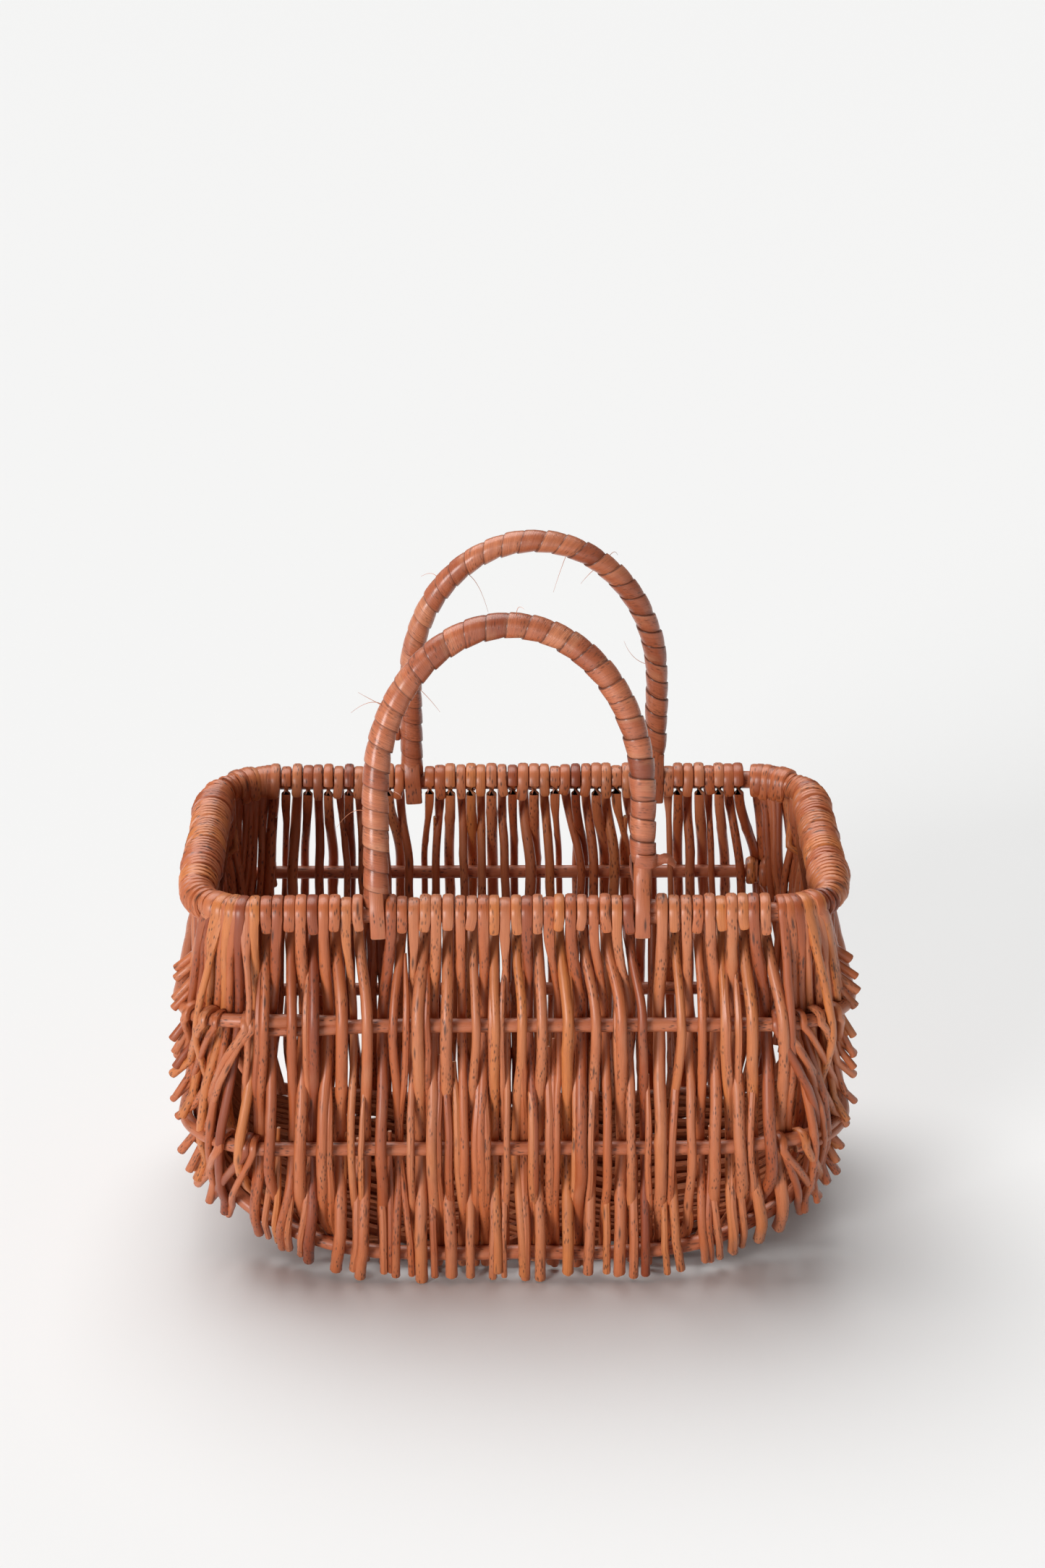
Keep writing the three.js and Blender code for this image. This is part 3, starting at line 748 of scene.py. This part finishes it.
# A rod from below the wound rim down past the lower ring. away: offset, in reaches of ring and rod.
def endRod(side, hand, place, lean, away, luck):
    radius = luck.uniform(*endRods["radius"])
    sideways, swell = rodHabit(luck)
    low = lowerRing["height"] - luck.uniform(*endRods["below"])
    path = []
    for share in shares(endRods["steps"]):
        height = lerp(rim["height"] - 3, low, share)
        along = hand * (place + lean * share + sideways(share * 150) * smooth(share, 0, 0.1))
        reach = ringReach + radius + 0.3
        middle = (rim["height"] - upperRing["height"]) / (rim["height"] - low)
        offset = away * reach * smooth(share, 0, middle)
        point = wallAt(along, height, side)[0]
        square = squareTo(along, height, side)
        size = radius * swell(share * 150)
        path.append((point + square * (offset - 1.0), square, size, size))
    return path


makeLongWall(-1, "front", 11)
makeLongWall(1, "back", 23)
print("long walls woven")
makeCorner(-1, -1, "front_left_fan", 5)
makeCorner(-1, 1, "front_right_fan", 6)
makeCorner(1, -1, "back_left_fan", 7)
makeCorner(1, 1, "back_right_fan", 8)
print("corners woven")


# Hoops, bows and bottom ribs

hoops = {
    "step": 6.0,
    "lift": 3.4,  # how much one lapped end lies above the other
    "rings": [  # node, sizes, where it begins along the wall, lap
        ("rim_hoop", rim, 40, 60), ("upper_ring", upperRing, -152, 46), ("lower_ring", lowerRing, 176, 46),
    ],
}


# A hoop bent from one rod, whose two ends lie side by side for a short way.
def hoopPath(ring, start, lap, luck):
    half = breaksAt(ring["height"])[4]
    sideways, swell = rodHabit(luck, 0.5)
    total = 2 * half + lap
    count = int(total / hoops["step"])
    path = []
    for i in range(count + 1):
        place = total * i / count
        along = start + place
        while along > half:
            along -= 2 * half
        point, out = wallAt(along, ring["height"], -1)
        lapping = smooth(place, total - 2.2 * lap, total - 1.2 * lap)
        shift = hoops["lift"] * (lapping - 1 + smooth(place, 0, lap * 1.6))
        point = point + Vector((0, 0, shift)) + out * (0.35 * sideways(place))
        taper = lerp(0.72, 1.0, smooth(place, 0, lap)) * lerp(0.80, 1.0, smooth(total - place, 0, lap))
        size = ring["radius"] * 0.98 * swell(place) * taper
        path.append((point, out, size, size))
    return path


def makeHoops():
    luck = random.Random(31)
    for node, ring, start, lap in hoops["rings"]:
        bundle = newBundle()
        addRod(bundle, hoopPath(ring, start, lap, luck), 0.6, luck, sides=12)
        addPiece(node.replace("_", "Rod_"), bundle, frameMaterial, [node])


def makeBows():
    luck = random.Random(37)
    for side, word in [(-1, "front"), (1, "back")]:
        bundle = newBundle()
        sideways, swell = rodHabit(luck, 0.8)
        path = []
        for part in shares(150):
            share = 2 * part - 1
            along, height = courseAt(share)
            square = squareTo(along, height, side)
            point = wallAt(along, height, side)[0] - square * bowInside(height)
            distance = (share + 1) * bowLength
            point.z += 0.5 * sideways(distance)
            size = bow["radius"] * lerp(0.86, 1.0, smooth(1 - abs(share), 0, 0.5)) * swell(distance)
            path.append((point, square, size, size))
        tips = []
        for end, before in [(path[0], path[1]), (path[-1], path[-2])]:  # on up beside the rim
            tip = end[0] + Vector((0, 0, 13)) + (end[0] - before[0]).normalized() * 2
            tips.append((tip, end[1], end[2] * 0.9, end[3] * 0.9))
        addRod(bundle, [tips[0], *path, tips[1]], 0.55, luck, sides=12)
        addPiece(f"{word}BowRod", bundle, frameMaterial, [f"{word}_bow"])


bottom = {
    "rods": 23,
    "edge": 15,  # from the wall to the outermost rods
    "radius": (2.9, 3.8),
    "lastShare": 0.985,  # of the bow's course, up to where they tuck into the wound rim
    "endOffset": (-1.35, -1.0),  # at the ends, in reaches of ring and rod; negative is inside
    "extra": 24,  # thin rods between them, on the bottom only
    "extraRadius": (1.9, 2.5),
    "extraReach": (0.36, 0.44),
    "rib": 4,  # radius of a rib
    "step": 6.0,
}
ribPlaces = [middleOf(f"bottom_rib_{i}") for i in range(1, 5)]


def makeBottomRibs():
    luck = random.Random(41)
    for i, middle in enumerate(ribPlaces):
        low, high = boxOf(f"bottom_rib_{i + 1}")
        sideways, swell = rodHabit(luck, 0.4)
        bundle = newBundle()
        path = []
        for share in shares(30):
            y = lerp(low.y, high.y, share)
            distance = y - low.y
            size = (high.z - low.z) / 2 * swell(distance) * 0.97
            point = Vector((middle.x + sideways(distance) * 0.5, y, middle.z))
            path.append((point, Vector((0, 0, 1)), size, size))
        addRod(bundle, path, pickTint(luck), luck)
        addPiece(f"bottomRib{i + 1}", bundle, frameMaterial, [f"bottom_rib_{i + 1}"])


def endPoint(share):  # on the bow's course, but drawn out to the middle of the end wall
    along, height = courseAt(share)
    point = wallAt(along, height, -1)[0]
    end = copysign(sectionAt(height)[0], point.x)
    point.x = lerp(point.x, end, smooth(height, 50, 95))
    return point


# Rods that run down one end, along the bottom over and under the ribs, and up the other end.
def makeBottomRods():
    luck = random.Random(43)
    bundles = [newBundle() for _ in range(6)]
    lastRib = ribPlaces[-1].x
    spacing = ribPlaces[1].x - ribPlaces[0].x
    total = bottom["rods"]

    def pathAt(lane, way, radius, reach, sideways, swell, endOffset):
        path = []
        count = max(int(2 * reach * bowLength / bottom["step"]), 8)
        for i in range(count + 1):
            share = lerp(-reach, reach, i / count)
            height = courseAt(share)[1]
            point = endPoint(share)
            ahead = endPoint(min(share + 0.01, 1))
            behind = endPoint(max(share - 0.01, -1))
            down = Vector((ahead.z - behind.z, 0, behind.x - ahead.x)).normalized()
            point.y = lane * (-point.y - bottom["edge"])
            clear = (bottom["rib"] + radius + 0.3) * way
            if abs(point.x) <= lastRib:
                wave = clear * cos(pi * (point.x - lastRib) / spacing)
            else:  # past the last rib of this end
                wave = clear * (1 if point.x > 0 else cos(pi * (len(ribPlaces) - 1)))
                wave *= 1 - smooth(abs(point.x), lastRib, lastRib + spacing * 0.8)
            wave += endOffset * (ringReach + radius + 0.4) * smooth(height, 45, 85)
            distance = i * bottom["step"]
            point = point + down * wave + Vector((0, sideways(distance), 0))
            size = radius * swell(distance)
            path.append((point, down, size, size))
        return path

    def intoRim(place):  # from the end of a path up into the wound rim
        point = place[0]
        return (Vector((copysign(rim["halfLength"], point.x), point.y, rim["height"] - 5)), *place[1:])

    for index in range(total):
        lane = 2 * (index + 0.5) / total - 1 + luck.uniform(-0.02, 0.02)
        way = 1 if index % 2 == 0 else -1
        radius = luck.uniform(*bottom["radius"])
        sideways, swell = rodHabit(luck, 1.1)
        endOffset = luck.uniform(*bottom["endOffset"])
        path = pathAt(lane, way, radius, bottom["lastShare"], sideways, swell, endOffset)
        path = [intoRim(path[0]), *path, intoRim(path[-1])]
        addRod(bundles[min(index * 6 // total, 5)], path, pickTint(luck), luck, sides=8)
    for index in range(bottom["extra"]):
        lane = 2 * (index + 1.0) / (bottom["extra"] + 1) - 1
        way = -1 if index % 2 == 0 else 1
        radius = luck.uniform(*bottom["extraRadius"])
        sideways, swell = rodHabit(luck, 0.5)
        path = pathAt(lane, way, radius, luck.uniform(*bottom["extraReach"]), sideways, swell, -1)
        addRod(bundles[min(int((lane + 1) * 3), 5)], path, pickTint(luck), luck, sides=8)
    for i, bundle in enumerate(bundles):
        addPiece(f"bottomRods{i + 1}", bundle, shadedBottomMaterial, [f"bottom_weavers_{i + 1}"])


makeHoops()
makeBows()
makeBottomRibs()
makeBottomRods()
print("hoops, bows and bottom made")


# The wound rim at the two ends

endWinding = {
    "start": 187,  # along the rim, just round the corner
    "pitch": 4.7,
    "turns": (2.3, 4.6),  # of one thin end
    "coil": (2.1, 2.6),  # its radius
    "outer": (9.6, 13.4),  # radius of the whole, at its two ends and in the middle
    "rise": 55,  # the length over which it thickens
}


def makeEndWinding(hand, node, seed):
    luck = random.Random(seed)
    half = breaksAt(rim["height"])[4]
    bundle = newBundle()
    start = endWinding["start"]
    length = half - 2 * start

    def outerAt(place):
        inwards = min(place, length - place)
        slow = 0.7 * sin(place / 17 + seed) + 0.4 * sin(place / 7.3 + 2 * seed)
        return lerp(*endWinding["outer"], smooth(inwards, -4, endWinding["rise"])) + slow * 0.5

    # what lies below the outermost coils
    path = []
    for share in shares(60):
        place = lerp(2, length - 2, share)
        point, out = wallAt(hand * (start + place), rim["height"], -1)
        size = outerAt(place) - endWinding["coil"][1]
        path.append((point, out, size, size))
    addRod(bundle, path, 0.25, luck, sides=16)
    # layers of thin rods, each wound a few times round and then tucked under the next
    place = 0.0
    while place < length:
        turns = luck.uniform(*endWinding["turns"])
        coil = luck.uniform(*endWinding["coil"])
        tint = pickTint(luck)
        steps = int(turns * 22)
        begin = luck.uniform(0, 6.28)
        slope = luck.uniform(-1.2, 1.2)
        tilt = luck.uniform(0.8, 3.4)
        raised = luck.uniform(-1.0, 0.7)
        path = []
        for i in range(steps + 1):
            turn = begin + 6.283 * i * turns / steps
            here = place + endWinding["pitch"] * turns * i / steps + tilt * cos(turn + slope)
            here = min(max(here, 0), length)
            point, out = wallAt(hand * (start + here), rim["height"], -1)
            dive = 1 - smooth(min(i, steps - i), 0, 7)
            reach = outerAt(here) - coil * 0.95 - dive * 2.4 + raised
            hint = out * cos(turn) + Vector((0, 0, sin(turn)))
            width = coil * lerp(1.06, 0.78, i / steps)
            path.append((point + hint * reach, hint, width, coil * lerp(1.0, 0.8, i / steps)))
        addRod(bundle, path, tint, luck, sides=8)
        place += endWinding["pitch"] * turns * 0.93
    addPiece(node.replace("_", ""), bundle, rodMaterial, [node])


makeEndWinding(-1, "left_rim_wrap", 3)
makeEndWinding(1, "right_rim_wrap", 4)
print("end rims wound")


# Handles

arch = {
    "straight": 75,  # height above the rim where the arch begins
    "lean": 28,  # how far the crown leans over the basket
    "core": 5.7,
    "outer": {-1: 8.1, 1: 7.5},  # front and back: the proud edge of a turn of skein
    "step": 1.5,  # how much lower its other edge lies, under the next turn
    "band": 15.2,
    "thickness": 0.95,
    "pitch": 12.3,
    "bareLeft": 7, "bareRight": 29,  # height above the rim where the skein starts and stops
    "stepsPerTurn": 26,
    "footTop": {1: 26, -1: 20},  # outer and inner half of a split foot, above the rim
    "footEnd": -12.6,
    "loose": {-1: (1, 33, 11), 1: (-1, 34, 7)},  # sprung end: which leg, height and length
    "looseOut": 8.9,
    "fibres": 6,
    "fibreReach": (8, 22),
}


def handleLine(side, handle):
    def place(x, up):
        inwards = arch["lean"] * up / handle["top"]
        return Vector((handle["middle"] + x, side * (rim["halfDepth"] - inwards), rim["height"] + up))

    reach = handle["reach"]
    low = arch["straight"]
    points = [place(-reach, up) for up in (2, 24, 48)]
    for share in shares(12):
        turn = pi * (1 - share)
        points.append(place(reach * cos(turn), low + (handle["top"] - low) * sin(turn)))
    points += [place(reach, up) for up in (48, 24, 2)]
    return evenly(throughPoints(points, 10), 241)


def makeHandle(side, word, seed):
    luck = random.Random(seed)
    handle = handles[side]
    line, length = handleLine(side, handle)
    outwards = Vector((0, side, 0))

    def lineAt(distance):
        place = min(max(distance / length, 0), 1) * 240
        index = min(int(place), 239)
        point = line[index].lerp(line[index + 1], place - index)
        along = (line[min(index + 2, 240)] - line[max(index - 1, 0)]).normalized()
        return point, along

    # core, with its two ends split to sit astride the rim
    core = newBundle()
    path = []
    for share in shares(120):
        point = lineAt(lerp(7, length - 7, share))[0]
        path.append((point, outwards, arch["core"], arch["core"]))
    addRod(core, path, 0.5, luck, sides=14)
    for x in handle["legs"]:
        skew = luck.uniform(-1.2, 1.6)
        left = x < handle["middle"]
        for out in (1, -1):
            path = []
            top = arch["footTop"][out]
            for share in shares(14):
                up = lerp(top, arch["footEnd"], share)
                away = (rim["radius"] + 2.5) * (1 - smooth(up, 2, top)) + 2.6 * smooth(up, 2, top)
                inwards = arch["lean"] * max(up, 0) / handle["top"]
                base = Vector((x, side * (rim["halfDepth"] - inwards), rim["height"] + up))
                base.y += side * out * (away + (0.4 if up < -4 else 0))
                base.x += skew * (1 - share) * -0.6 + (1.4 if left else 0) * share
                width = lerp(4.4, 4.9, share) if out > 0 else 5.4
                path.append((base, outwards * out, width, lerp(2.6, 1.7, share)))
            addRod(core, path, 0.55 if out > 0 else 0.3, luck, sides=12)
    addPiece(f"{word}HandleRod", core, frameMaterial, [f"{word}_handle_core"])

    # skein: one flat strip wound round, each turn lying over the edge of the next
    skein = newBundle()
    start = arch["bareLeft"] - 2
    stop = length - (arch["bareRight"] - 2)
    turnsTotal = int((stop - start) / arch["pitch"])
    pitch = (stop - start) / turnsTotal
    stepsPerTurn = arch["stepsPerTurn"]
    nudges = [luck.uniform(-1.2, 1.2) for _ in range(turnsTotal + 2)]
    grows = [luck.uniform(-0.28, 0.28) for _ in range(turnsTotal + 2)]
    tints = [luck.gauss(0.55, 0.20) for _ in range(turnsTotal + 2)]
    leans = [luck.uniform(-0.5, 0.5) for _ in range(turnsTotal + 2)]
    band = arch["band"]
    thickness = arch["thickness"]
    first = len(skein["points"])
    # across the strip, rise, outer or inner face, how much painted shade it gets: along the proud and tucked
    # edges where the turns overlap, and all over the hidden inner face
    profile = [(-0.5, 0.84, 1, 1.0), (-0.478, 0.97, 1, 0.9), (-0.44, 1.0, 1, 0.0), (-0.15, 0.94, 1, 0.0),
               (0.15, 0.72, 1, 0.0), (0.5, 0.0, 1, 0.6), (0.5, 0.0, 0, 1.0), (0.0, 0.4, 0, 1.0),
               (-0.5, 0.75, 0, 1.0)]
    total = turnsTotal * stepsPerTurn
    for step in range(total + 1):
        turn = step / stepsPerTurn
        index = int(turn)
        within = smooth(turn - index)
        nudge, grow, lean = (lerp(drawn[index], drawn[index + 1], within) for drawn in (nudges, grows, leans))
        angle = 6.2832 * turn
        middle = start + pitch * turn + nudge + (lean + 1.3 * (turn / turnsTotal)) * cos(angle)
        for acrossBand, rise, outer, paintedShade in profile:
            distance = middle + acrossBand * band
            point, along = lineAt(distance)
            level = (outwards - along * outwards.dot(along)).normalized()
            other = along.cross(level)
            edge = arch["outer"][side] - arch["step"] * (1 - rise)
            radius = edge + grow + (0 if outer else -thickness)
            if distance < start - 2 or distance > length - 12:
                radius -= 0.3
            point = point + (level * sin(angle) + other * cos(angle)) * radius
            onStrip = Vector((turn * 0.047 + seed, acrossBand * band * 0.001, 0.001 * outer))
            tint = lerp(tints[index], tints[index + 1], smooth(turn - index, 0.4, 0.6))
            addPoint(skein, point, onStrip, tint, paintedShade)
    sides = len(profile)
    joinRings(skein, first, total, sides, True)
    skein["faces"].append(tuple(first + i for i in reversed(range(sides))))
    skein["faces"].append(tuple(first + total * sides + i for i in range(sides)))
    # an end of skein that was tucked in and has sprung out again
    leg, up, reach = arch["loose"][side]
    base = lineAt(length - up if leg > 0 else up)[0]
    path = []
    for i in range(12):
        turn = lerp(-0.5, 1.25, min(i / 6, 1))
        away = Vector((leg * sin(turn), side * cos(turn), 0))
        free = max(i - 6, 0) / 5
        onward = Vector((leg * cos(turn), -side * sin(turn), 0)) + away * 1.4
        onward += Vector((0, 0, 0.5 * sin(4 * free)))
        point = base + away * arch["looseOut"] + onward * reach * free * 0.62
        path.append((point - Vector((0, 0, 0.3 * i)), away, 4.3 - free * 1.6, 0.5))
    addRod(skein, path, 0.35, luck, sides=8, cutEnds=0.3)
    # fine fibres that stand off the skein
    for _ in range(arch["fibres"]):
        point, along = lineAt(luck.uniform(20, length - 60))
        other = along.cross(outwards).normalized()
        away = other * luck.choice((-1, 1)) + Vector((0, 0.3 * side, luck.uniform(-0.3, 0.6)))
        away.normalize()
        hair = []
        reach = luck.uniform(*arch["fibreReach"])
        curl = Vector((luck.uniform(-0.4, 0.4), 0, luck.uniform(-0.9, 0.5)))
        for share in shares(8):
            here = point + away * (7.5 + reach * share) + curl * reach * share * share
            hair.append((here, outwards, lerp(0.22, 0.08, share), lerp(0.16, 0.06, share)))
        addRod(skein, hair, 0.9, luck, sides=5, cutEnds=0.0)
    addPiece(f"{word}HandleSkein", skein, skeinMaterial, [f"{word}_handle_wrap"], sharp=36)


makeHandle(-1, "front", 51)
makeHandle(1, "back", 53)
print("handles wrapped")


# Floor, light and camera

studio = {
    "floor": 60.0, "floorColor": (0.83, 0.83, 0.825),
    "sky": 0.10, "skyColor": (1.0, 0.998, 0.99),
    "suns": [  # name, direction towards it, strength, softness in degrees
        ("windowLight", (-0.20, 0.36, 0.91), 3.0, 58),
        ("roomLight", (-0.58, -0.79, 0.16), 2.6, 24),
    ],
    "camera": (-0.01358, -2.20219, 1.10952),
    "lens": 85, "sensor": 36, "tilt": 69.6, "turn": -0.5,
}


def makeStudio():
    bpy.ops.object.select_all(action="DESELECT")
    bpy.ops.mesh.primitive_plane_add(size=studio["floor"])
    floor = bpy.context.active_object
    floor.name = "floor"
    material = bpy.data.materials.new("paleFloor")
    material.use_nodes = True
    setSockets(material.node_tree.nodes["Principled BSDF"], {
        "Base Color": (*studio["floorColor"], 1), "Roughness": 0.9, "Specular IOR Level": 0.1})
    floor.data.materials.append(material)
    world = bpy.data.worlds.new("softSky")
    world.use_nodes = True
    setSockets(world.node_tree.nodes["Background"], {
        "Color": (*studio["skyColor"], 1), "Strength": studio["sky"]})
    bpy.context.scene.world = world
    for name, towards, strength, softness in studio["suns"]:
        lamp = bpy.data.lights.new(name, "SUN")
        lamp.energy = strength
        lamp.angle = radians(softness)
        holder = bpy.data.objects.new(name, lamp)
        holder.location = Vector(towards) * 3
        holder.rotation_euler = (-Vector(towards)).to_track_quat("-Z", "Y").to_euler()
        bpy.context.collection.objects.link(holder)
    lens = bpy.data.cameras.new("camera")
    lens.lens = studio["lens"]
    lens.sensor_fit = "VERTICAL"
    lens.sensor_height = studio["sensor"]
    lens.clip_end = 200
    camera = bpy.data.objects.new("camera", lens)
    camera.location = studio["camera"]
    camera.rotation_euler = (radians(studio["tilt"]), 0, radians(studio["turn"]))
    bpy.context.collection.objects.link(camera)
    bpy.context.scene.camera = camera
    bpy.context.scene.view_settings.view_transform = "Standard"


makeStudio()
print("studio set")
